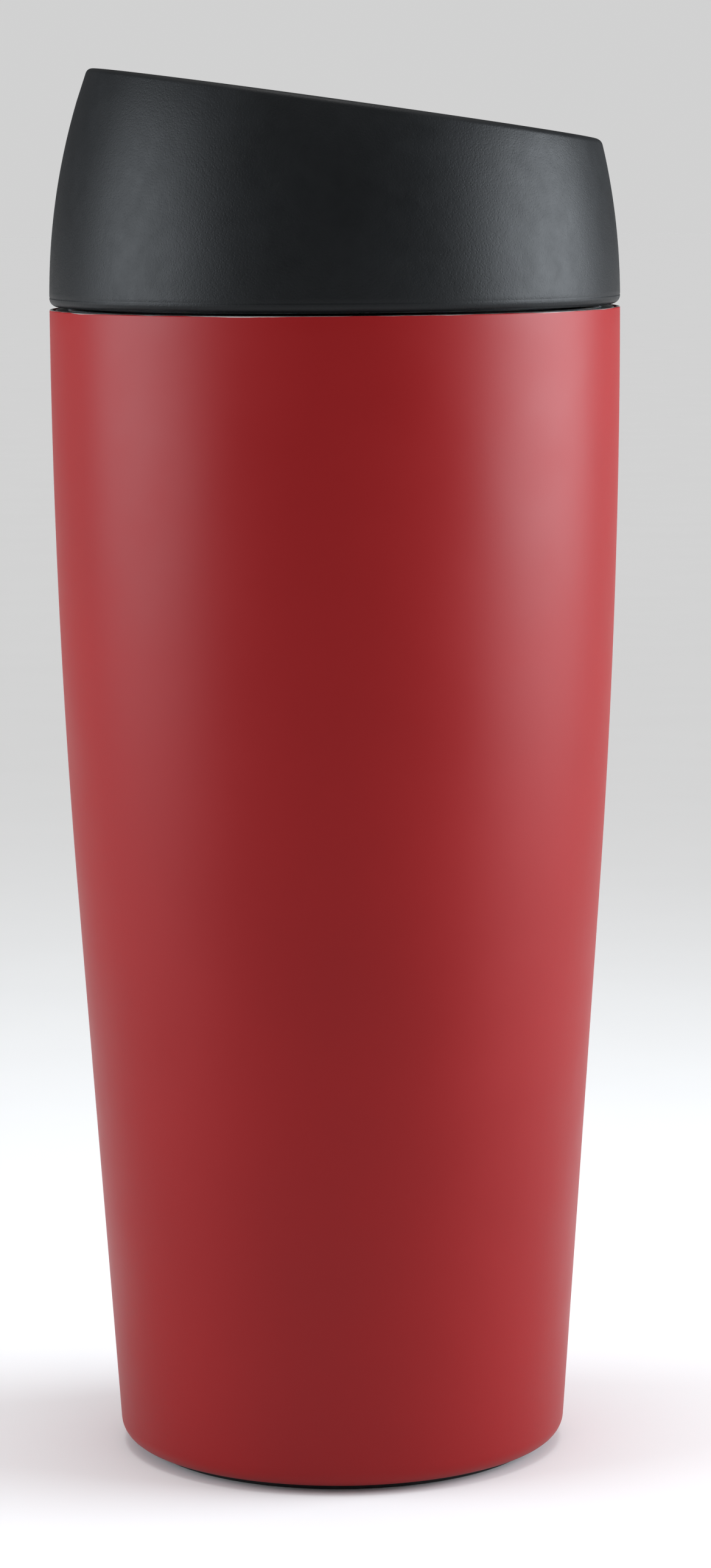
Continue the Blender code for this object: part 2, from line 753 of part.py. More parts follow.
def hang(pieces, name, z, parent=None):
    """Parents pieces to an empty on the mug's axis at height z. The empty is their joint's axis."""
    axis = bpy.data.objects.new(name, None)
    axis.empty_display_size = 0.02
    bpy.data.collections[OBJECT_NAME].objects.link(axis)
    axis.parent = parent
    parent_z = parent.matrix_world.translation.z if parent else 0.0
    axis.location.z = z * MM - parent_z
    bpy.context.view_layer.update()
    for piece in pieces:
        piece.parent = axis
        piece.matrix_parent_inverse = axis.matrix_world.inverted()
    return axis


clear_scene()
add_collection(OBJECT_NAME)
add_collection("cutters")

mug_pieces = [make_outer_shell(), make_inner_liner(), make_radiation_shield(), *make_base()]
mug_axis = hang(mug_pieces, "mug_axis", 0.0)

lift_axis = hang([make_lid_gasket()], "lid_lift_axis", MUG_TOP_Z, mug_axis)

lid_pieces = [make_lid_casing(), *make_plug(), *make_valve_cage(), make_spring_washer()]
lid_pieces += [make_sleeve_cap(), make_spring()]
lid_axis = hang(lid_pieces, "lid_turn_axis", MUG_TOP_Z, lift_axis)

button_pieces = [make_button_cap(), make_plunger(), make_stem(), *make_valve()]
hang(button_pieces, "button_press_axis", RIM_Z - BUTTON_DROP, lid_axis)

hang([make_latch_ring()], "latch_turn_axis", LEDGE_Z + GAP, lid_axis)
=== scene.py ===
"""Insulated travel mug: the fine visual model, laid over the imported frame, and its studio.

The frame is in metres. Dimensions that the frame doesn't give are named here in millimetres, as in the
CAD. Turned pieces are outlines of (r, z) points in millimetres, spun finely round the mug's axis.
"""

import math

import bmesh
import bpy
from mathutils import Matrix, Vector


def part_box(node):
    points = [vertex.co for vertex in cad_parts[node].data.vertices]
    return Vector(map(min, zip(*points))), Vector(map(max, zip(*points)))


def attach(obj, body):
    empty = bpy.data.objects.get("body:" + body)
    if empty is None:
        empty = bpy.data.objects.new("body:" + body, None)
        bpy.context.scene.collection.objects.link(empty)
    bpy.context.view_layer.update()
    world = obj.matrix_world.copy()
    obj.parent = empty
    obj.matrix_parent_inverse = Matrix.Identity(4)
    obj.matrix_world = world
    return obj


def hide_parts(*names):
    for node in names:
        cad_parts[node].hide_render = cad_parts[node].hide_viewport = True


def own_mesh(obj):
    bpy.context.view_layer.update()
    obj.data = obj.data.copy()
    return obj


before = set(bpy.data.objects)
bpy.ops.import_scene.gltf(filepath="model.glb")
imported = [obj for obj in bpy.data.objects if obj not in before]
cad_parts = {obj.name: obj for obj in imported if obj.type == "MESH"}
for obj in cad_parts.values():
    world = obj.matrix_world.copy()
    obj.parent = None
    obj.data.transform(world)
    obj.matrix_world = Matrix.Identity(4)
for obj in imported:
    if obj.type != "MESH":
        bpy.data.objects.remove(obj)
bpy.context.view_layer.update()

MM = 0.001
SPIN_STEPS = 180
FINE_SPIN_STEPS = 240
ARC_STEP = math.radians(9)
SHARP_ANGLE = math.radians(40)
MERGE_DISTANCE = 1e-7

# Reading outlines from the CAD: degrees that keep a cut off the facets' edges, metres, then mm
CUT_OFFSET = 0.2
CUT_TOLERANCE = 1e-8
NEAR_AXIS = 0.01
NO_LENGTH = 1e-6
STRAIGHT_ANGLE = math.radians(0.4)
CORNER_ANGLE = math.radians(25)
CORNER_SHARE = 0.45


def top_of(node):
    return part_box(node)[1].z / MM


def bottom_of(node):
    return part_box(node)[0].z / MM


def radius_of(node):
    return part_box(node)[1].x / MM


# Mug body, mm
MUG_RADIUS = radius_of("outer_shell")
MUG_TOP_Z = top_of("outer_shell")
MUG_BOTTOM_Z = bottom_of("outer_shell")
TAPER = math.radians(3.9)
CONE_TOP_Z = 80.0
SHEET = 0.5
SHELL_ARC_POINTS = 28
SHELL_CORNER = 2.8
SHELL_LIP_ROUND = 0.16
SHELL_INNER_LIP_ROUND = 0.1
SHELL_HOLE_RADIUS = radius_of("foot_ring") + 0.3
FOOT_HOLE_RADIUS = 24.0
FOOT_EDGE_ROUND = 0.6
FOOT_GROOVE_RADIUS = 27.0
FOOT_GROOVE_WIDTH = 1.0
FOOT_GROOVE_FLOOR_WIDTH = 0.4
FOOT_GROOVE_DEPTH = 0.35
FOOT_GROOVE_EDGE_ROUND = 0.15
FOOT_GROOVE_FLOOR_ROUND = 0.1

# Getter, mm, with its dish's floor and rim as shares of its radius
GETTER_SPIN_STEPS = 72
GETTER_DISH_DEPTH = 0.25
GETTER_DISH_FLOOR = 0.55
GETTER_DISH_RIM = 0.7
GETTER_RIM_ROUND = 0.2
GETTER_EDGE_ROUND = 0.3

# Lid, mm
CASING_Z = MUG_TOP_Z + 0.4
DOME_Z = CASING_Z + 0.8
DOME_ARC = 92.9
DOME_POINTS = 24
RIM_Z = 191.3
SLOPE = math.tan(math.radians(8.2))
SLANT_Z = 181.5
CASING_WALL = 2.2
RIM_ROUND = 1.05
CASING_FOOT_ROUND = 1.14
CASING_INNER_FOOT_ROUND = 0.3
WITNESS_LINE_Z = CASING_Z + 1.25
WITNESS_LINE_DEPTH = 0.045
WITNESS_LINE_ABOVE = 0.16
WITNESS_LINE_BELOW = 0.12
WITNESS_LINE_MARGIN = 0.4
DISH_Z = 180.5
DISH_WALL = 1.8
DISH_ROUND = 2.0
WELL_POINTS = 8
THROAT_Z = 178.0
THROAT_RADIUS = 28.5
THROAT_WALL = 2.0
THROAT_TOP_ROUND = 1.0
THROAT_FOOT_ROUND = 0.4
THROAT_BOTTOM_Z = bottom_of("lid_casing")
SHOULDER_Z = 167.5
SHOULDER_RADIUS = 33.2
SHOULDER_HEIGHT = 1.8

# Button, mm
BUTTON_RADIUS = radius_of("button_cap")
BUTTON_SKIRT_Z = bottom_of("button_cap")
BUTTON_WALL = 1.7
BUTTON_TOP_Z = RIM_Z - 3.5
BUTTON_SLANT_Z = 181.0
BUTTON_SLANT_TOP_Z = 185.4
BUTTON_DISH_RADIUS = 17.0
BUTTON_DISH_DEPTH = 0.8
BUTTON_DISH_POINTS = 16
BUTTON_EDGE_ROUND = 1.0
BUTTON_SKIRT_ROUND = 0.5
BUTTON_INNER_ROUND = 0.6
SOCKET_RADIUS = 5.2
SOCKET_Z = 180.8
SOCKET_BORE = 2.8
SOCKET_TOP_Z = 185.5
SOCKET_ROUND = 0.2

# A helical rib's section, mm, degrees, and shares of the rib's height
RIB_STEP = 2.0
RIB_SINK = 0.2
RIB_ROUND = 0.15
RIB_FLARE = 0.12
RIB_SHOULDER = 0.25
RIB_LEAST = 0.02

# Screw thread, mm and degrees
THREAD = {
    "starts": 3,
    "lead": 15.0,
    "sweep": 100.0,
    "run_out": 9.0,
    "root_height": 2.0,
    "tip_height": 0.9,
}
THREAD_BITE = 1.6
PLUG_THREAD_Z = 150.0
MOUTH_THREAD_Z = 151.7
PLUG_RADIUS = 32.6
NECK_RADIUS = 34.8
THREAD_GAP_ANGLE = 110.0

# Latch, mm and degrees
LATCH_RIB = {
    "starts": 3,
    "lead": 60.0,
    "sweep": 40.0,
    "run_out": 2.0,
    "root_height": 3.4,
    "tip_height": 3.0,
}
LATCH_RIB_Z = 168.7
LATCH_RIB_RADIUS = 6.6
LATCH_RIB_GAP_ANGLE = 90.0
SHAFT_RADIUS = 4.8
LATCH_BORE = SHAFT_RADIUS + 0.4
SLOT_RADIUS = LATCH_RIB_RADIUS + 0.3
SLOT_WIDTH = 27.6
SLOT_FLANK = 0.8
SLOT_POINTS = 10
BORE_POINTS = 30
LATCH_LEVELS = 8
LATCH_EDGE_ROUND = 0.15

# Valve cage's spokes, mm
SPOKES = 3
SPOKE_WIDTH = 2.4
SPOKE_INNER = 11.6
SPOKE_OUTER = 29.6
SPOKE_TOP_DROP = 0.5
CAGE_RAISE = 1.8
CAGE_HEIGHT = 4.5
SPOKE_ROUND = 0.5

# Nut, mm
NUT_BORE = 3.3
NUT_COUNTERSINK = 0.35
NUT_CHAMFER = 0.5
NUT_FACE_SHARE = 0.97
NUT_CHAMFER_LEVELS = 6
NUT_STEPS = 120

# Spring, mm
SPRING_WIRE = 1.0
SPRING_RADIUS = 7.4
SPRING_TURNS = 4.5
SPRING_STEPS_A_TURN = 48
WIRE_SIDES = 12
END_TURNS = 0.8
END_PITCH = 1.15


# Shapes


def shell_radius(z):
    """The mug's outer radius: an arc that is upright at the top and runs into a straight cone."""
    arc = (MUG_TOP_Z - CONE_TOP_Z) / math.sin(TAPER)
    drop = MUG_TOP_Z - max(z, CONE_TOP_Z)
    radius = MUG_RADIUS - arc + math.sqrt(arc**2 - drop**2)
    return radius - max(CONE_TOP_Z - z, 0.0) * math.tan(TAPER)


def dome_radius(z):
    """The lid's outer radius: upright at its foot, then an arc that leans in."""
    rise = max(z - DOME_Z, 0.0)
    return MUG_RADIUS - DOME_ARC + math.sqrt(DOME_ARC**2 - rise**2)


def levels(low, high, count):
    """Values from low to high, count even steps apart."""
    return [low + (high - low) * i / count for i in range(count + 1)]


def rounded(corners):
    """The outline through (r, z) corners, where a third number rounds its corner to that radius."""
    outline = []
    for i, corner in enumerate(corners):
        here = Vector(corner[:2])
        if len(corner) == 2:
            outline.append(here)
            continue
        back = (Vector(corners[i - 1][:2]) - here).normalized()
        ahead = (Vector(corners[(i + 1) % len(corners)][:2]) - here).normalized()
        half = back.angle(ahead) / 2
        centre = here + (back + ahead).normalized() * corner[2] / math.sin(half)
        start = here + back * corner[2] / math.tan(half) - centre
        turn = math.copysign(math.pi - 2 * half, back.y * ahead.x - back.x * ahead.y)
        steps = max(2, round(abs(turn) / ARC_STEP))
        for step in range(steps + 1):
            outline.append(centre + Matrix.Rotation(turn * step / steps, 2) @ start)
    return outline


def new_object(name, shape):
    """A smooth-shaded object from a bmesh, which is freed."""
    mesh = bpy.data.meshes.new(name)
    shape.to_mesh(mesh)
    shape.free()
    mesh.shade_smooth()
    mesh.set_sharp_from_angle(angle=SHARP_ANGLE)
    piece = bpy.data.objects.new(name, mesh)
    bpy.context.scene.collection.objects.link(piece)
    return piece


def spun(name, *outlines, steps=SPIN_STEPS):
    """A turned piece from its outlines, each of which may start and end on the axis."""
    shape = bmesh.new()
    for corners in outlines:
        points = [shape.verts.new((r * MM, 0.0, z * MM)) for r, z in rounded(corners)]
        for pair in zip(points, points[1:]):
            shape.edges.new(pair)
        if corners[0][0] > 0.0:
            shape.edges.new((points[-1], points[0]))
    bmesh.ops.spin(
        shape,
        geom=shape.verts[:] + shape.edges[:],
        cent=(0, 0, 0),
        axis=(0, 0, 1),
        angle=math.tau,
        steps=steps,
        use_merge=True,
    )
    bmesh.ops.remove_doubles(shape, verts=shape.verts, dist=MERGE_DISTANCE)
    bmesh.ops.recalc_face_normals(shape, faces=shape.faces)
    return new_object(name, shape)


def cad_outlines(node, degrees):
    """A turned CAD node's outlines at an angle round the axis, read by cutting its mesh there."""
    shape = bmesh.new()
    shape.from_mesh(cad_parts[node].data)
    bmesh.ops.remove_doubles(shape, verts=shape.verts, dist=MERGE_DISTANCE)
    turn = Matrix.Rotation(-math.radians(degrees + CUT_OFFSET), 3, "Z")
    bmesh.ops.rotate(shape, cent=(0, 0, 0), matrix=turn, verts=shape.verts)
    everything = shape.verts[:] + shape.edges[:] + shape.faces[:]
    cut = bmesh.ops.bisect_plane(
        shape,
        geom=everything,
        dist=CUT_TOLERANCE,
        plane_co=(0, 0, 0),
        plane_no=(0, 1, 0),
    )
    edges = [item for item in cut["geom_cut"] if isinstance(item, bmesh.types.BMEdge)]
    edges = [edge for edge in edges if sum(vert.co.x for vert in edge.verts) > 0.0]
    outlines = [without_straight_points(outline) for outline in chains(edges)]
    shape.free()
    return outlines


def chains(edges):
    """Each run of connected edges as (r, z) points in mm, in order. An open run starts at its top."""
    neighbours = {}
    for edge in edges:
        a, b = ((round(v.co.x / MM, 4), round(v.co.z / MM, 4)) for v in edge.verts)
        if a != b:
            neighbours.setdefault(a, []).append(b)
            neighbours.setdefault(b, []).append(a)
    left = sorted(neighbours, key=lambda p: (len(neighbours[p]), -p[1]))
    found = []
    while left:
        chain = [left[0]]
        while chain[-1] is not None:
            left.remove(chain[-1])
            ahead = [p for p in neighbours[chain[-1]] if p in left]
            chain.append(ahead[0] if ahead else None)
        found.append(chain[:-1])
    return found


def without_straight_points(outline):
    """The outline's corners only. One that starts beside the axis is open, and its ends go onto it."""
    closed = outline[0][0] > NEAR_AXIS
    kept = []
    for i, here in enumerate(outline):
        if not closed and i in (0, len(outline) - 1):
            kept.append((0.0, here[1]))
            continue
        back = Vector(here) - Vector(outline[i - 1])
        ahead = Vector(outline[(i + 1) % len(outline)]) - Vector(here)
        shortest = min(back.length, ahead.length)
        if shortest > NO_LENGTH and back.angle(ahead) > STRAIGHT_ANGLE:
            kept.append(here)
    return kept


def softened(outline, radius):
    """The outline with its sharp corners rounded, as far as the lengths beside them allow."""
    corners = []
    for i, here in enumerate(outline):
        ahead = Vector(outline[(i + 1) % len(outline)]) - Vector(here)
        back = Vector(here) - Vector(outline[i - 1])
        on_axis = here[0] == 0.0
        if on_axis or back.length < NO_LENGTH or back.angle(ahead) < CORNER_ANGLE:
            corners.append(here)
            continue
        reach = math.tan(back.angle(ahead) / 2)
        fits = CORNER_SHARE * min(back.length, ahead.length) / reach
        corners.append((*here, min(radius, fits)))
    return corners


def respun(node, body, slot, degrees=0.0, edge=0.25):
    """A turned CAD node made again with a fine, soft-edged surface."""
    outlines = [softened(outline, edge) for outline in cad_outlines(node, degrees)]
    piece = spun(node + "_fine", *outlines)
    finish(piece, body, slot, node)


def finish(piece, body, slot, *nodes):
    """Gives a piece its material, puts it on its body, and lets it stand for CAD nodes."""
    piece.data.materials.append(finishes[slot])
    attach(piece, body)
    if nodes:
        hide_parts(*nodes)


def soften(piece, width):
    """Rounds a piece's edges slightly."""
    bevel = piece.modifiers.new("Soft edges", "BEVEL")
    bevel.width = width * MM
    bevel.segments = 2
    bevel.angle_limit = math.radians(35)


def slant(piece, low, high, wall_radius=None):
    """Tips a turned piece's upper end to the lid's slope, more and more from low to high.

    With a wall_radius function, the points move up or down along that wall instead of straight. The
    slope depends on the radius, which the wall changes, so the two are brought together step by step.
    """
    rounds = 6
    for vertex in piece.data.vertices:
        z = vertex.co.z / MM
        weight = min(max((z - low) / (high - low), 0.0), 1.0)
        radius = vertex.co.xy.length / MM
        if weight == 0.0 or radius == 0.0:
            continue
        cosine = vertex.co.x / MM / radius
        new_z = z
        new_radius = radius
        for _ in range(rounds):
            new_z = z - SLOPE * weight * new_radius * cosine
            if wall_radius:
                new_radius = radius + wall_radius(new_z) - wall_radius(z)
        vertex.co.xy *= new_radius / radius
        vertex.co.z = new_z * MM


def helical_ribs(name, root, tip, z, form):
    """Ribs that climb round a wall of radius root, as high as radius tip, and fade out at both ends."""
    shape = bmesh.new()
    sink = math.copysign(RIB_SINK, tip - root)
    steps = round(form["sweep"] / RIB_STEP)
    half_root = form["root_height"] / 2
    half_tip = form["tip_height"] / 2
    for start in range(form["starts"]):
        sections = []
        for step in range(steps + 1):
            degrees = form["sweep"] * step / steps
            fade = min(degrees, form["sweep"] - degrees) / form["run_out"]
            share = max(math.sin(min(fade, 1.0) * math.pi / 2), RIB_LEAST)
            crest = root + (tip - root) * share
            middle = z + form["lead"] * degrees / 360
            shoulder = crest - RIB_SHOULDER * (crest - root)
            section = [
                (root - sink, middle - half_root),
                (root, middle - half_root),
                (shoulder, middle - half_tip - RIB_FLARE),
                (crest, middle - half_tip + RIB_ROUND),
                (crest, middle + half_tip - RIB_ROUND),
                (shoulder, middle + half_tip + RIB_FLARE),
                (root, middle + half_root),
                (root - sink, middle + half_root),
            ]
            angle = math.radians(degrees + 360 * start / form["starts"])
            sections.append([shape.verts.new(round_axis(r, angle, level)) for r, level in section])
        for here, ahead in zip(sections, sections[1:]):
            close_loops(shape, here, ahead)
        shape.faces.new(sections[0])
        shape.faces.new(list(reversed(sections[-1])))
    bmesh.ops.recalc_face_normals(shape, faces=shape.faces)
    return new_object(name, shape)


def round_axis(radius, angle, z):
    """A point in metres from a radius and a height in millimetres."""
    return Vector((radius * math.cos(angle), radius * math.sin(angle), z)) * MM


def close_loops(shape, here, ahead):
    """Faces between two loops of as many points each."""
    for i in range(len(here)):
        j = (i + 1) % len(here)
        shape.faces.new((here[i], here[j], ahead[j], ahead[i]))


# Materials

# Most of a noise texture's values lie between these two
NOISE_RANGE = (0.3, 0.7)


class Look:
    """A Principled material and short ways to add nodes to it. Texture sizes are in millimetres."""

    def __init__(self, name, colour, metallic, roughness, specular=0.5):
        self.material = bpy.data.materials.new(name)
        self.material.use_nodes = True
        self.tree = self.material.node_tree
        self.surface = self.tree.nodes["Principled BSDF"]
        self.surface.inputs["Base Color"].default_value = (*colour, 1.0)
        self.surface.inputs["Metallic"].default_value = metallic
        self.surface.inputs["Roughness"].default_value = roughness
        self.surface.inputs["Specular IOR Level"].default_value = specular
        place = self.add("ShaderNodeTexCoord")
        scale = self.add("ShaderNodeVectorMath", operation="SCALE")
        scale.inputs["Scale"].default_value = 1 / MM
        self.tree.links.new(place.outputs["Object"], scale.inputs[0])
        self.place = scale.outputs[0]

    def add(self, kind, **settings):
        node = self.tree.nodes.new(kind)
        for setting, value in settings.items():
            setattr(node, setting, value)
        return node

    def link(self, source, socket):
        self.tree.links.new(source, socket)

    def stretched(self, x, y, z):
        """The place on the surface with each direction's texture stretched by that factor."""
        node = self.add("ShaderNodeVectorMath", operation="DIVIDE")
        node.inputs[1].default_value = (x, y, z)
        self.link(self.place, node.inputs[0])
        return node.outputs[0]

    def noise(self, size, detail=2.0, roughness=0.5, place=None):
        node = self.add("ShaderNodeTexNoise")
        node.inputs["Scale"].default_value = 1.0 / size
        node.inputs["Detail"].default_value = detail
        node.inputs["Roughness"].default_value = roughness
        self.link(place or self.place, node.inputs["Vector"])
        return node.outputs["Fac"]

    def cells(self, size):
        """The distance to the nearest of many scattered points."""
        node = self.add("ShaderNodeTexVoronoi", feature="F1")
        node.inputs["Scale"].default_value = 1.0 / size
        self.link(self.place, node.inputs["Vector"])
        return node.outputs["Distance"]

    def ramp(self, source, low, high, to_low=0.0, to_high=1.0):
        """Maps source from low..high to to_low..to_high, held at both ends."""
        node = self.add("ShaderNodeMapRange")
        node.inputs["From Min"].default_value = low
        node.inputs["From Max"].default_value = high
        node.inputs["To Min"].default_value = to_low
        node.inputs["To Max"].default_value = to_high
        self.link(source, node.inputs["Value"])
        return node.outputs["Result"]

    def combined(self, operation, first, second):
        """Two textures added, multiplied and so on."""
        node = self.add("ShaderNodeMath", operation=operation)
        self.link(first, node.inputs[0])
        self.link(second, node.inputs[1])
        return node.outputs[0]

    def blend(self, factor, first, second):
        """A colour between first and second, each a colour or a socket that gives one."""
        node = self.add("ShaderNodeMix", data_type="RGBA")
        self.link(factor, node.inputs["Factor"])
        for socket, value in zip((node.inputs[6], node.inputs[7]), (first, second)):
            if isinstance(value, tuple):
                socket.default_value = (*value, 1.0)
            else:
                self.link(value, socket)
        return node.outputs[2]

    def bump(self, *heights):
        """Bumps, each a (height texture, depth in millimetres) pair, one on top of the other."""
        normal = None
        for texture, depth in heights:
            node = self.add("ShaderNodeBump")
            node.inputs["Strength"].default_value = 1.0
            node.inputs["Distance"].default_value = depth * MM
            self.link(texture, node.inputs["Height"])
            if normal:
                self.link(normal, node.inputs["Normal"])
            normal = node.outputs["Normal"]
        self.link(normal, self.surface.inputs["Normal"])


def red_lacquer():
    """Satin powder-coat red: faint orange peel, slightly uneven gloss, and a bare steel top edge."""
    look = Look("red_lacquer", (0.245, 0.0055, 0.0065), 0.0, 0.43, specular=0.2)
    tone = look.ramp(look.noise(28.0, 3.0), *NOISE_RANGE)
    colour = look.blend(tone, (0.237, 0.0052, 0.0062), (0.253, 0.0058, 0.0068))
    height = look.add("ShaderNodeSeparateXYZ")
    look.link(look.place, height.inputs[0])
    ragged = look.ramp(look.noise(9.0, 4.0), 0.35, 0.65, -0.10, 0.06)
    edge = look.combined("ADD", height.outputs["Z"], ragged)
    bare = look.ramp(edge, MUG_TOP_Z - 0.10, MUG_TOP_Z - 0.04)
    look.link(look.blend(bare, colour, (0.62, 0.60, 0.58)), look.surface.inputs["Base Color"])
    look.link(bare, look.surface.inputs["Metallic"])
    gloss = look.ramp(look.noise(14.0, 4.0), *NOISE_RANGE, 0.40, 0.46)
    look.link(gloss, look.surface.inputs["Roughness"])
    look.bump((look.noise(1.6, 1.0), 0.004), (look.noise(0.35, 2.0), 0.0035))
    return look.material


def grained_plastic():
    """Black moulded plastic with a fine, matte grain and slightly uneven gloss."""
    look = Look("grained_plastic", (0.007, 0.0077, 0.0084), 0.0, 0.44, specular=0.165)
    tone = look.ramp(look.noise(12.0, 4.0), *NOISE_RANGE)
    colour = look.blend(tone, (0.006, 0.0066, 0.0072), (0.008, 0.0088, 0.0096))
    look.link(colour, look.surface.inputs["Base Color"])
    pits = look.ramp(look.cells(0.34), 0.0, 0.5)
    wander = look.ramp(look.noise(0.6, 3.0, 0.6), *NOISE_RANGE, 0.5, 1.0)
    gloss = look.ramp(look.noise(3.0, 5.0, 0.65), *NOISE_RANGE, 0.40, 0.48)
    look.link(gloss, look.surface.inputs["Roughness"])
    look.bump((look.combined("MULTIPLY", pits, wander), 0.015), (look.noise(0.2, 2.0, 0.6), 0.006))
    return look.material


def smooth_plastic():
    """Dark grey moulded plastic with faint flow marks."""
    look = Look("smooth_plastic", (0.075, 0.08, 0.085), 0.0, 0.42)
    flow = look.noise(5.0, 3.0, place=look.stretched(1.0, 1.0, 3.0))
    tone = look.ramp(flow, *NOISE_RANGE)
    colour = look.blend(tone, (0.068, 0.073, 0.078), (0.082, 0.087, 0.092))
    look.link(colour, look.surface.inputs["Base Color"])
    look.link(look.ramp(flow, *NOISE_RANGE, 0.38, 0.48), look.surface.inputs["Roughness"])
    look.bump((look.noise(0.4, 2.0), 0.004))
    return look.material


def turned_steel():
    """Stainless steel with the fine rings that turning and polishing leave round the axis."""
    look = Look("turned_steel", (0.60, 0.585, 0.565), 1.0, 0.3)
    rings = look.noise(0.35, 3.0, 0.6, place=look.stretched(30.0, 30.0, 1.0))
    smudges = look.noise(16.0, 4.0, 0.6)
    tone = look.ramp(rings, *NOISE_RANGE)
    colour = look.blend(tone, (0.56, 0.545, 0.53), (0.65, 0.635, 0.615))
    look.link(colour, look.surface.inputs["Base Color"])
    ring_gloss = look.ramp(rings, *NOISE_RANGE, 0.20, 0.32)
    smudge_gloss = look.ramp(smudges, 0.4, 0.7, 0.0, 0.06)
    gloss = look.combined("ADD", ring_gloss, smudge_gloss)
    look.link(gloss, look.surface.inputs["Roughness"])
    look.bump((rings, 0.0025))
    return look.material


def copper_foil():
    """Thin bright copper, slightly creased."""
    look = Look("copper_foil", (0.80, 0.42, 0.28), 1.0, 0.3)
    creases = look.noise(9.0, 4.0, 0.6)
    look.link(look.ramp(creases, *NOISE_RANGE, 0.24, 0.38), look.surface.inputs["Roughness"])
    look.bump((creases, 0.05))
    return look.material


def black_rubber():
    """Matte rubber with a dusty, slightly mottled face."""
    look = Look("black_rubber", (0.013, 0.013, 0.013), 0.0, 0.82, specular=0.3)
    dust = look.ramp(look.noise(2.5, 5.0, 0.65), 0.45, 0.8)
    colour = look.blend(dust, (0.011, 0.011, 0.0115), (0.03, 0.029, 0.028))
    look.link(colour, look.surface.inputs["Base Color"])
    look.link(look.ramp(dust, 0.0, 1.0, 0.76, 0.9), look.surface.inputs["Roughness"])
    look.bump((look.noise(0.5, 3.0), 0.01))
    return look.material


def silicone():
    """Milky silicone: light goes a little way in, and the skin is matte."""
    look = Look("silicone", (0.60, 0.62, 0.63), 0.0, 0.55)
    look.surface.inputs["Subsurface Weight"].default_value = 0.25
    look.surface.inputs["Subsurface Scale"].default_value = 0.002
    cloud = look.ramp(look.noise(4.0, 3.0), *NOISE_RANGE)
    colour = look.blend(cloud, (0.56, 0.58, 0.59), (0.64, 0.66, 0.67))
    look.link(colour, look.surface.inputs["Base Color"])
    look.link(look.ramp(cloud, 0.0, 1.0, 0.5, 0.62), look.surface.inputs["Roughness"])
    look.bump((look.noise(0.6, 2.0), 0.006))
    return look.material


def studio_floor():
    """Plain pale paper."""
    look = Look("studio_floor", (0.88, 0.88, 0.88), 0.0, 0.9, specular=0.1)
    fibre = look.ramp(look.noise(40.0, 3.0), *NOISE_RANGE)
    colour = look.blend(fibre, (0.875, 0.875, 0.875), (0.885, 0.885, 0.885))
    look.link(colour, look.surface.inputs["Base Color"])
    return look.material


# Mug body


def make_outer_shell():
    """A thin sheet that follows the mug's side and turns in at the bottom, as far as the foot's hole."""
    side = [(shell_radius(z), z) for z in levels(MUG_TOP_Z, CONE_TOP_Z, SHELL_ARC_POINTS)[1:]]
    inside = [(r - SHEET, z) for r, z in reversed(side)]
    floor = MUG_BOTTOM_Z + SHEET
    corners = [
        (MUG_RADIUS, MUG_TOP_Z, SHELL_LIP_ROUND),
        *side,
        (shell_radius(MUG_BOTTOM_Z), MUG_BOTTOM_Z, SHELL_CORNER),
        (SHELL_HOLE_RADIUS, MUG_BOTTOM_Z),
        (SHELL_HOLE_RADIUS, floor),
        (shell_radius(floor) - SHEET, floor, SHELL_CORNER - SHEET),
        *inside,
        (MUG_RADIUS - SHEET, MUG_TOP_Z, SHELL_INNER_LIP_ROUND),
    ]
    shell = spun("outer_shell_fine", corners, steps=FINE_SPIN_STEPS)
    finish(shell, "mug", "red_lacquer", "outer_shell")


def make_foot():
    """A rubber ring with a shallow groove round the face that it stands on."""
    low = bottom_of("foot_ring")
    high = top_of("foot_ring")
    groove_floor = low + FOOT_GROOVE_DEPTH
    half_groove = FOOT_GROOVE_WIDTH / 2
    half_floor = FOOT_GROOVE_FLOOR_WIDTH / 2
    corners = [
        (radius_of("foot_ring"), high),
        (radius_of("foot_ring"), low, FOOT_EDGE_ROUND),
        (FOOT_GROOVE_RADIUS + half_groove, low, FOOT_GROOVE_EDGE_ROUND),
        (FOOT_GROOVE_RADIUS + half_floor, groove_floor, FOOT_GROOVE_FLOOR_ROUND),
        (FOOT_GROOVE_RADIUS - half_floor, groove_floor, FOOT_GROOVE_FLOOR_ROUND),
        (FOOT_GROOVE_RADIUS - half_groove, low, FOOT_GROOVE_EDGE_ROUND),
        (FOOT_HOLE_RADIUS, low, FOOT_EDGE_ROUND),
        (FOOT_HOLE_RADIUS, high),
    ]
    finish(spun("foot_ring_fine", corners), "mug", "black_rubber", "foot_ring")


def make_liner():
    respun("inner_liner", "mug", "steel", THREAD_GAP_ANGLE, edge=0.35)
    ribs = helical_ribs("mouth_thread", NECK_RADIUS, NECK_RADIUS - THREAD_BITE, MOUTH_THREAD_Z, THREAD)
    finish(ribs, "mug", "steel")


# Lid


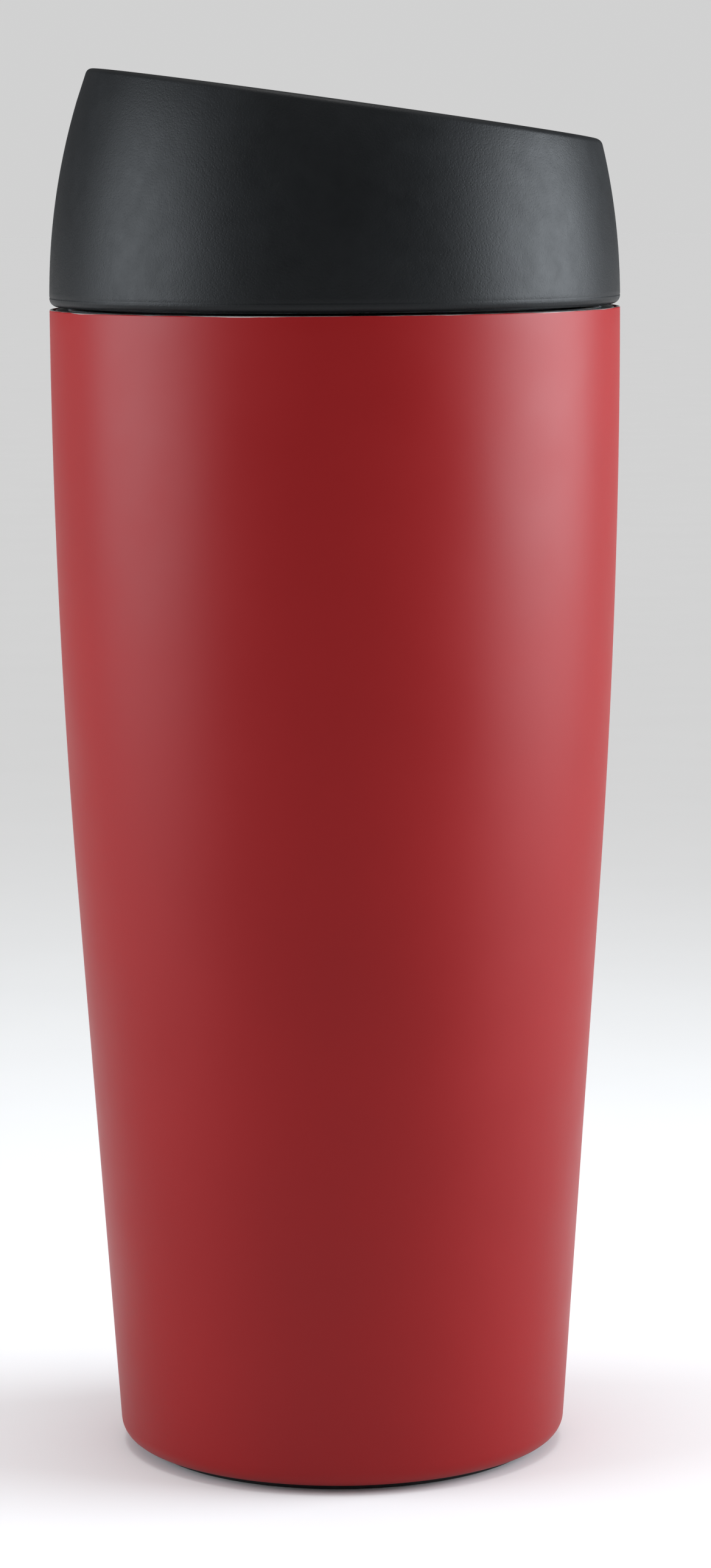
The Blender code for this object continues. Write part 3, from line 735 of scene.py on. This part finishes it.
def make_lid_casing():
    """The dome, the well's dish and the throat in one outline. Its rim is level until slant tips it.

    Wall points next to a rounded corner are left out, so that each corner has room for its arc.
    """
    throat_outer = THROAT_RADIUS + THROAT_WALL
    inner_foot = MUG_RADIUS - CASING_WALL
    side = [(dome_radius(z), z) for z in levels(RIM_Z, DOME_Z, DOME_POINTS)]
    line = WITNESS_LINE_Z
    line_top = line + WITNESS_LINE_ABOVE
    line_foot = line - WITNESS_LINE_BELOW
    under_dish = DISH_Z - DISH_WALL
    corners = [
        (*side[0], RIM_ROUND),
        *[point for point in side[3:-1] if point[1] > line + WITNESS_LINE_MARGIN],
        (dome_radius(line_top), line_top),
        (dome_radius(line) - WITNESS_LINE_DEPTH, line),
        (dome_radius(line_foot), line_foot),
        (MUG_RADIUS, CASING_Z, CASING_FOOT_ROUND),
        (inner_foot, CASING_Z, CASING_INNER_FOOT_ROUND),
        (inner_foot, DOME_Z),
        (dome_radius(under_dish) - CASING_WALL, under_dish),
        (throat_outer, THROAT_Z - DISH_WALL),
        (throat_outer, SHOULDER_Z + SHOULDER_HEIGHT),
        (SHOULDER_RADIUS, SHOULDER_Z + SHOULDER_HEIGHT),
        (SHOULDER_RADIUS, SHOULDER_Z),
        (throat_outer, SHOULDER_Z),
        (throat_outer, THROAT_BOTTOM_Z, THROAT_FOOT_ROUND),
        (THROAT_RADIUS, THROAT_BOTTOM_Z, THROAT_FOOT_ROUND),
        (THROAT_RADIUS, THROAT_Z, THROAT_TOP_ROUND),
        (dome_radius(DISH_Z) - CASING_WALL, DISH_Z, DISH_ROUND),
        *[(dome_radius(z) - CASING_WALL, z) for z in levels(DISH_Z, RIM_Z, WELL_POINTS)[3:-1]],
        (dome_radius(RIM_Z) - CASING_WALL, RIM_Z, RIM_ROUND),
    ]
    casing = spun("lid_casing_fine", corners, steps=FINE_SPIN_STEPS)
    slant(casing, SLANT_Z, RIM_Z - RIM_ROUND, dome_radius)
    finish(casing, "lid", "black_plastic", "lid_casing")


def make_plug():
    respun("threaded_plug", "lid", "black_plastic", THREAD_GAP_ANGLE, edge=0.4)
    ribs = helical_ribs("plug_thread", PLUG_RADIUS, PLUG_RADIUS + THREAD_BITE, PLUG_THREAD_Z, THREAD)
    finish(ribs, "lid", "black_plastic")


def make_button():
    """A dished, slanted cap with a thin skirt, and a socket underneath for the plunger's tip."""
    under = BUTTON_TOP_Z - BUTTON_WALL
    dish = [
        (r, BUTTON_TOP_Z - BUTTON_DISH_DEPTH * math.cos(math.pi / 2 * r / BUTTON_DISH_RADIUS) ** 2)
        for r in levels(0.0, BUTTON_DISH_RADIUS, BUTTON_DISH_POINTS)
    ]
    corners = [
        *dish,
        (BUTTON_RADIUS, BUTTON_TOP_Z, BUTTON_EDGE_ROUND),
        (BUTTON_RADIUS, BUTTON_SKIRT_Z, BUTTON_SKIRT_ROUND),
        (BUTTON_RADIUS - BUTTON_WALL, BUTTON_SKIRT_Z, BUTTON_SKIRT_ROUND),
        (BUTTON_RADIUS - BUTTON_WALL, under, BUTTON_INNER_ROUND),
        (SOCKET_RADIUS, under, BUTTON_INNER_ROUND),
        (SOCKET_RADIUS, SOCKET_Z, SOCKET_ROUND),
        (SOCKET_BORE, SOCKET_Z),
        (SOCKET_BORE, SOCKET_TOP_Z),
        (0.0, SOCKET_TOP_Z),
    ]
    cap = spun("button_cap_fine", corners)
    slant(cap, BUTTON_SLANT_Z, BUTTON_SLANT_TOP_Z)
    finish(cap, "button", "black_plastic", "button_cap")


def make_plunger():
    respun("plunger", "button", "grey_plastic", LATCH_RIB_GAP_ANGLE)
    ribs = helical_ribs("plunger_ribs", SHAFT_RADIUS, LATCH_RIB_RADIUS, LATCH_RIB_Z, LATCH_RIB)
    finish(ribs, "button", "grey_plastic")


def make_latch_ring():
    """A ring whose slots turn with height, so that the plunger's ribs screw it round."""
    low = bottom_of("latch_ring")
    high = top_of("latch_ring")
    rim = []
    for start in range(LATCH_RIB["starts"]):
        middle = 360 * start / LATCH_RIB["starts"]
        for turn in levels(-SLOT_WIDTH / 2, SLOT_WIDTH / 2, SLOT_POINTS):
            rim.append((SLOT_RADIUS, middle + turn))
        ahead = 360 / LATCH_RIB["starts"] - SLOT_WIDTH / 2
        for turn in levels(SLOT_WIDTH / 2 + SLOT_FLANK, ahead - SLOT_FLANK, BORE_POINTS):
            rim.append((LATCH_BORE, middle + turn))
    shape = bmesh.new()
    loops = []
    for z in levels(low, high, LATCH_LEVELS):
        twist = 360 * (z - LATCH_RIB_Z) / LATCH_RIB["lead"]
        loops.append([shape.verts.new(round_axis(r, math.radians(turn + twist), z)) for r, turn in rim])
    twist = 360 * (high - LATCH_RIB_Z) / LATCH_RIB["lead"]
    for z in (high, low):
        outer = radius_of("latch_ring")
        loops.append([shape.verts.new(round_axis(outer, math.radians(turn + twist), z)) for _, turn in rim])
    for here, ahead in zip(loops, loops[1:] + loops[:1]):
        close_loops(shape, here, ahead)
    bmesh.ops.recalc_face_normals(shape, faces=shape.faces)
    latch = new_object("latch_ring_fine", shape)
    soften(latch, LATCH_EDGE_ROUND)
    finish(latch, "latch", "grey_plastic", "latch_ring")


def make_valve_cage():
    """The spring's sleeve and the cage's rim are turned; round-edged spokes join them."""
    respun("valve_cage", "lid", "grey_plastic")
    low = bottom_of("valve_cage") + CAGE_RAISE
    bars = bmesh.new()
    for i in range(SPOKES):
        corners = bmesh.ops.create_cube(bars, size=1.0)["verts"]
        size = Vector((SPOKE_OUTER - SPOKE_INNER, SPOKE_WIDTH, CAGE_HEIGHT - 2 * SPOKE_TOP_DROP))
        middle = Vector(((SPOKE_OUTER + SPOKE_INNER) / 2, 0.0, low + CAGE_HEIGHT / 2))
        bmesh.ops.scale(bars, vec=size * MM, verts=corners)
        bmesh.ops.translate(bars, vec=middle * MM, verts=corners)
        turn = Matrix.Rotation(math.tau * (i + 0.5) / SPOKES, 3, "Z")
        bmesh.ops.rotate(bars, cent=(0, 0, 0), matrix=turn, verts=corners)
    spokes = new_object("cage_spokes", bars)
    soften(spokes, SPOKE_ROUND)
    finish(spokes, "lid", "grey_plastic")


def make_spring():
    """A compression spring with closed ends, made at the CAD spring's length; the real one shortens as the
    button goes down.
    """
    low = bottom_of("spring") + SPRING_WIRE / 2
    high = top_of("spring") - SPRING_WIRE / 2
    end_rise = END_TURNS * END_PITCH
    steps = round(SPRING_TURNS * SPRING_STEPS_A_TURN)
    shape = bmesh.new()
    loops = []
    for step in range(steps + 1):
        turns = SPRING_TURNS * step / steps
        if turns < END_TURNS:
            z = low + END_PITCH * turns
        elif turns > SPRING_TURNS - END_TURNS:
            z = high - END_PITCH * (SPRING_TURNS - turns)
        else:
            part = (turns - END_TURNS) / (SPRING_TURNS - 2 * END_TURNS)
            z = low + end_rise + (high - low - 2 * end_rise) * part
        loop = []
        for side in range(WIRE_SIDES):
            around = math.tau * side / WIRE_SIDES
            radius = SPRING_RADIUS + SPRING_WIRE / 2 * math.cos(around)
            height = z + SPRING_WIRE / 2 * math.sin(around)
            loop.append(shape.verts.new(round_axis(radius, math.tau * turns, height)))
        loops.append(loop)
    for here, ahead in zip(loops, loops[1:]):
        close_loops(shape, here, ahead)
    shape.faces.new(loops[0])
    shape.faces.new(list(reversed(loops[-1])))
    bmesh.ops.recalc_face_normals(shape, faces=shape.faces)
    spring = new_object("spring_fine", shape)
    finish(spring, "lid", "steel", "spring")
    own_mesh(spring)


def make_getter():
    """A pressed pill with a dished face, stuck to the base of the vacuum space."""
    low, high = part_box("getter")
    radius = (high.x - low.x) / 2 / MM
    height = (high.z - low.z) / MM
    corners = [
        (0.0, height - GETTER_DISH_DEPTH),
        (radius * GETTER_DISH_FLOOR, height - GETTER_DISH_DEPTH),
        (radius * GETTER_DISH_RIM, height, GETTER_RIM_ROUND),
        (radius, height, GETTER_EDGE_ROUND),
        (radius, 0.0, GETTER_EDGE_ROUND),
        (0.0, 0.0),
    ]
    getter = spun("getter_fine", corners, steps=GETTER_SPIN_STEPS)
    getter.location = ((low.x + high.x) / 2, (low.y + high.y) / 2, low.z)
    finish(getter, "mug", "steel", "getter")


def make_nut():
    """A hexagon nut with the corners of both faces turned off, and a countersunk hole."""
    low = bottom_of("valve_nut")
    high = top_of("valve_nut")
    corner = radius_of("valve_nut")
    flat = corner * math.cos(math.pi / 6)
    face = flat * NUT_FACE_SHARE
    parts = levels(0.0, 1.0, NUT_CHAMFER_LEVELS)
    cone = [(face + (corner - face) * part, NUT_CHAMFER * part) for part in parts]
    mouth = NUT_BORE + NUT_COUNTERSINK
    walls = [
        *[(limit, low + rise) for limit, rise in cone],
        *[(limit, high - rise) for limit, rise in reversed(cone)],
        (mouth, high),
        (NUT_BORE, high - NUT_COUNTERSINK),
        (NUT_BORE, low + NUT_COUNTERSINK),
        (mouth, low),
    ]
    shape = bmesh.new()
    loops = []
    for limit, z in walls:
        loop = []
        for step in range(NUT_STEPS):
            angle = math.tau * step / NUT_STEPS
            hexagon = flat / math.cos((angle - math.pi / 6) % (math.pi / 3) - math.pi / 6)
            loop.append(shape.verts.new(round_axis(min(limit, hexagon), angle, z)))
        loops.append(loop)
    for here, ahead in zip(loops, loops[1:] + loops[:1]):
        close_loops(shape, here, ahead)
    bmesh.ops.recalc_face_normals(shape, faces=shape.faces)
    finish(new_object("valve_nut_fine", shape), "button", "steel", "valve_nut")


# Studio, metres

FLOOR_RADIUS = 12.0
SOFTBOX_DISTANCE = 0.5
SOFTBOX_BOTTOM_Z = 0.06
SOFTBOX_SPREAD = math.radians(100)
SOFTBOX_COLOUR = (0.93, 1.0, 1.07)
TOP_LIGHT_STRENGTH = 0.95
TOP_LIGHT_ANGLE = math.radians(30)
AIR_STRENGTH = 0.09
CEILING_STRENGTH = 0.8
CEILING_STARTS = math.radians(32)
CEILING_FULL = math.radians(60)
PAPER_STRENGTH = 0.64

# The camera's place and aim, fitted to the photograph's outline
CAMERA_SENSOR = 36.0
CAMERA_LENS = 104.66
CAMERA_PLACE = (0.0, -0.6436, 0.1821)
CAMERA_YAW = math.radians(-0.22)
CAMERA_PITCH = math.radians(90 - 7.69)
CAMERA_ROLL = math.radians(-0.37)


def make_floor():
    shape = bmesh.new()
    bmesh.ops.create_circle(shape, cap_ends=True, segments=96, radius=FLOOR_RADIUS)
    floor = new_object("studio_floor", shape)
    floor.location.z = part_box("foot_ring")[0].z
    floor.data.materials.append(studio_floor())


def softbox(name, azimuth, width, height, power):
    """A soft panel, upright and facing the mug. Azimuth 0 is on the camera's side, 90 on its right."""
    light = bpy.data.lights.new(name, "AREA")
    light.shape = "RECTANGLE"
    light.size = width
    light.size_y = height
    light.spread = SOFTBOX_SPREAD
    light.energy = power
    light.color = SOFTBOX_COLOUR
    lamp = bpy.data.objects.new(name, light)
    bpy.context.scene.collection.objects.link(lamp)
    lamp.visible_camera = False
    turn = math.radians(azimuth)
    middle = SOFTBOX_BOTTOM_Z + height / 2
    lamp.location = (SOFTBOX_DISTANCE * math.sin(turn), -SOFTBOX_DISTANCE * math.cos(turn), middle)
    lamp.rotation_euler = (math.radians(90), 0.0, turn)


def make_lights():
    """A broad light from above makes the floor even, and two panels stand left and right of the mug."""
    top = bpy.data.lights.new("top_light", "SUN")
    top.energy = TOP_LIGHT_STRENGTH
    top.angle = TOP_LIGHT_ANGLE
    top_lamp = bpy.data.objects.new("top_light", top)
    bpy.context.scene.collection.objects.link(top_lamp)
    softbox("left_softbox", -80, 0.44, 0.34, 1.1)
    softbox("right_softbox", 88, 0.48, 0.34, 1.95)


def make_world():
    """Dim air that brightens to a soft ceiling, and pale paper where the camera sees past the floor."""
    world = bpy.data.worlds.new("studio")
    bpy.context.scene.world = world
    world.use_nodes = True
    tree = world.node_tree
    air = tree.nodes["Background"]
    paper = tree.nodes.new("ShaderNodeBackground")
    paper.inputs["Strength"].default_value = PAPER_STRENGTH
    for background in (air, paper):
        background.inputs["Color"].default_value = (1.0, 1.0, 1.0, 1.0)
    direction = tree.nodes.new("ShaderNodeTexCoord")
    split = tree.nodes.new("ShaderNodeSeparateXYZ")
    ceiling = tree.nodes.new("ShaderNodeMapRange")
    ceiling.interpolation_type = "SMOOTHSTEP"
    ceiling.inputs["From Min"].default_value = math.sin(CEILING_STARTS)
    ceiling.inputs["From Max"].default_value = math.sin(CEILING_FULL)
    ceiling.inputs["To Min"].default_value = AIR_STRENGTH
    ceiling.inputs["To Max"].default_value = CEILING_STRENGTH
    path = tree.nodes.new("ShaderNodeLightPath")
    mix = tree.nodes.new("ShaderNodeMixShader")
    tree.links.new(direction.outputs["Generated"], split.inputs[0])
    tree.links.new(split.outputs["Z"], ceiling.inputs["Value"])
    tree.links.new(ceiling.outputs["Result"], air.inputs["Strength"])
    tree.links.new(path.outputs["Is Camera Ray"], mix.inputs["Fac"])
    tree.links.new(air.outputs[0], mix.inputs[1])
    tree.links.new(paper.outputs[0], mix.inputs[2])
    tree.links.new(mix.outputs[0], tree.nodes["World Output"].inputs["Surface"])


def make_camera():
    """Stands in front of the mug, a little below the top of its rim, and looks slightly down."""
    data = bpy.data.cameras.new("camera")
    data.sensor_fit = "VERTICAL"
    data.sensor_height = CAMERA_SENSOR
    data.lens = CAMERA_LENS
    camera = bpy.data.objects.new("camera", data)
    bpy.context.scene.collection.objects.link(camera)
    yaw = Matrix.Rotation(CAMERA_YAW, 4, "Z")
    pitch = Matrix.Rotation(CAMERA_PITCH, 4, "X")
    roll = Matrix.Rotation(CAMERA_ROLL, 4, "Z")
    camera.matrix_world = Matrix.Translation(CAMERA_PLACE) @ yaw @ pitch @ roll
    bpy.context.scene.camera = camera
    bpy.context.scene.view_settings.view_transform = "Standard"


finishes = {
    "red_lacquer": red_lacquer(),
    "steel": turned_steel(),
    "copper": copper_foil(),
    "black_plastic": grained_plastic(),
    "grey_plastic": smooth_plastic(),
    "black_rubber": black_rubber(),
    "silicone": silicone(),
}

make_outer_shell()
make_liner()
make_foot()
respun("base_plate", "mug", "steel")
respun("vacuum_plug", "mug", "steel")
respun("radiation_shield", "mug", "copper", edge=0.1)
make_getter()

respun("lid_gasket", "lid_seal", "silicone", edge=0.4)

make_lid_casing()
make_plug()
respun("throat_seal", "lid", "silicone")
respun("stem_seal", "lid", "silicone")
respun("spring_washer", "lid", "steel")
respun("sleeve_cap", "lid", "grey_plastic")
make_valve_cage()
make_spring()

make_button()
make_plunger()
respun("valve_stem", "button", "steel")
respun("valve_disc", "button", "grey_plastic", edge=0.5)
respun("valve_seal", "button", "silicone", edge=0.35)
make_nut()
make_latch_ring()

make_floor()
make_lights()
make_world()
make_camera()
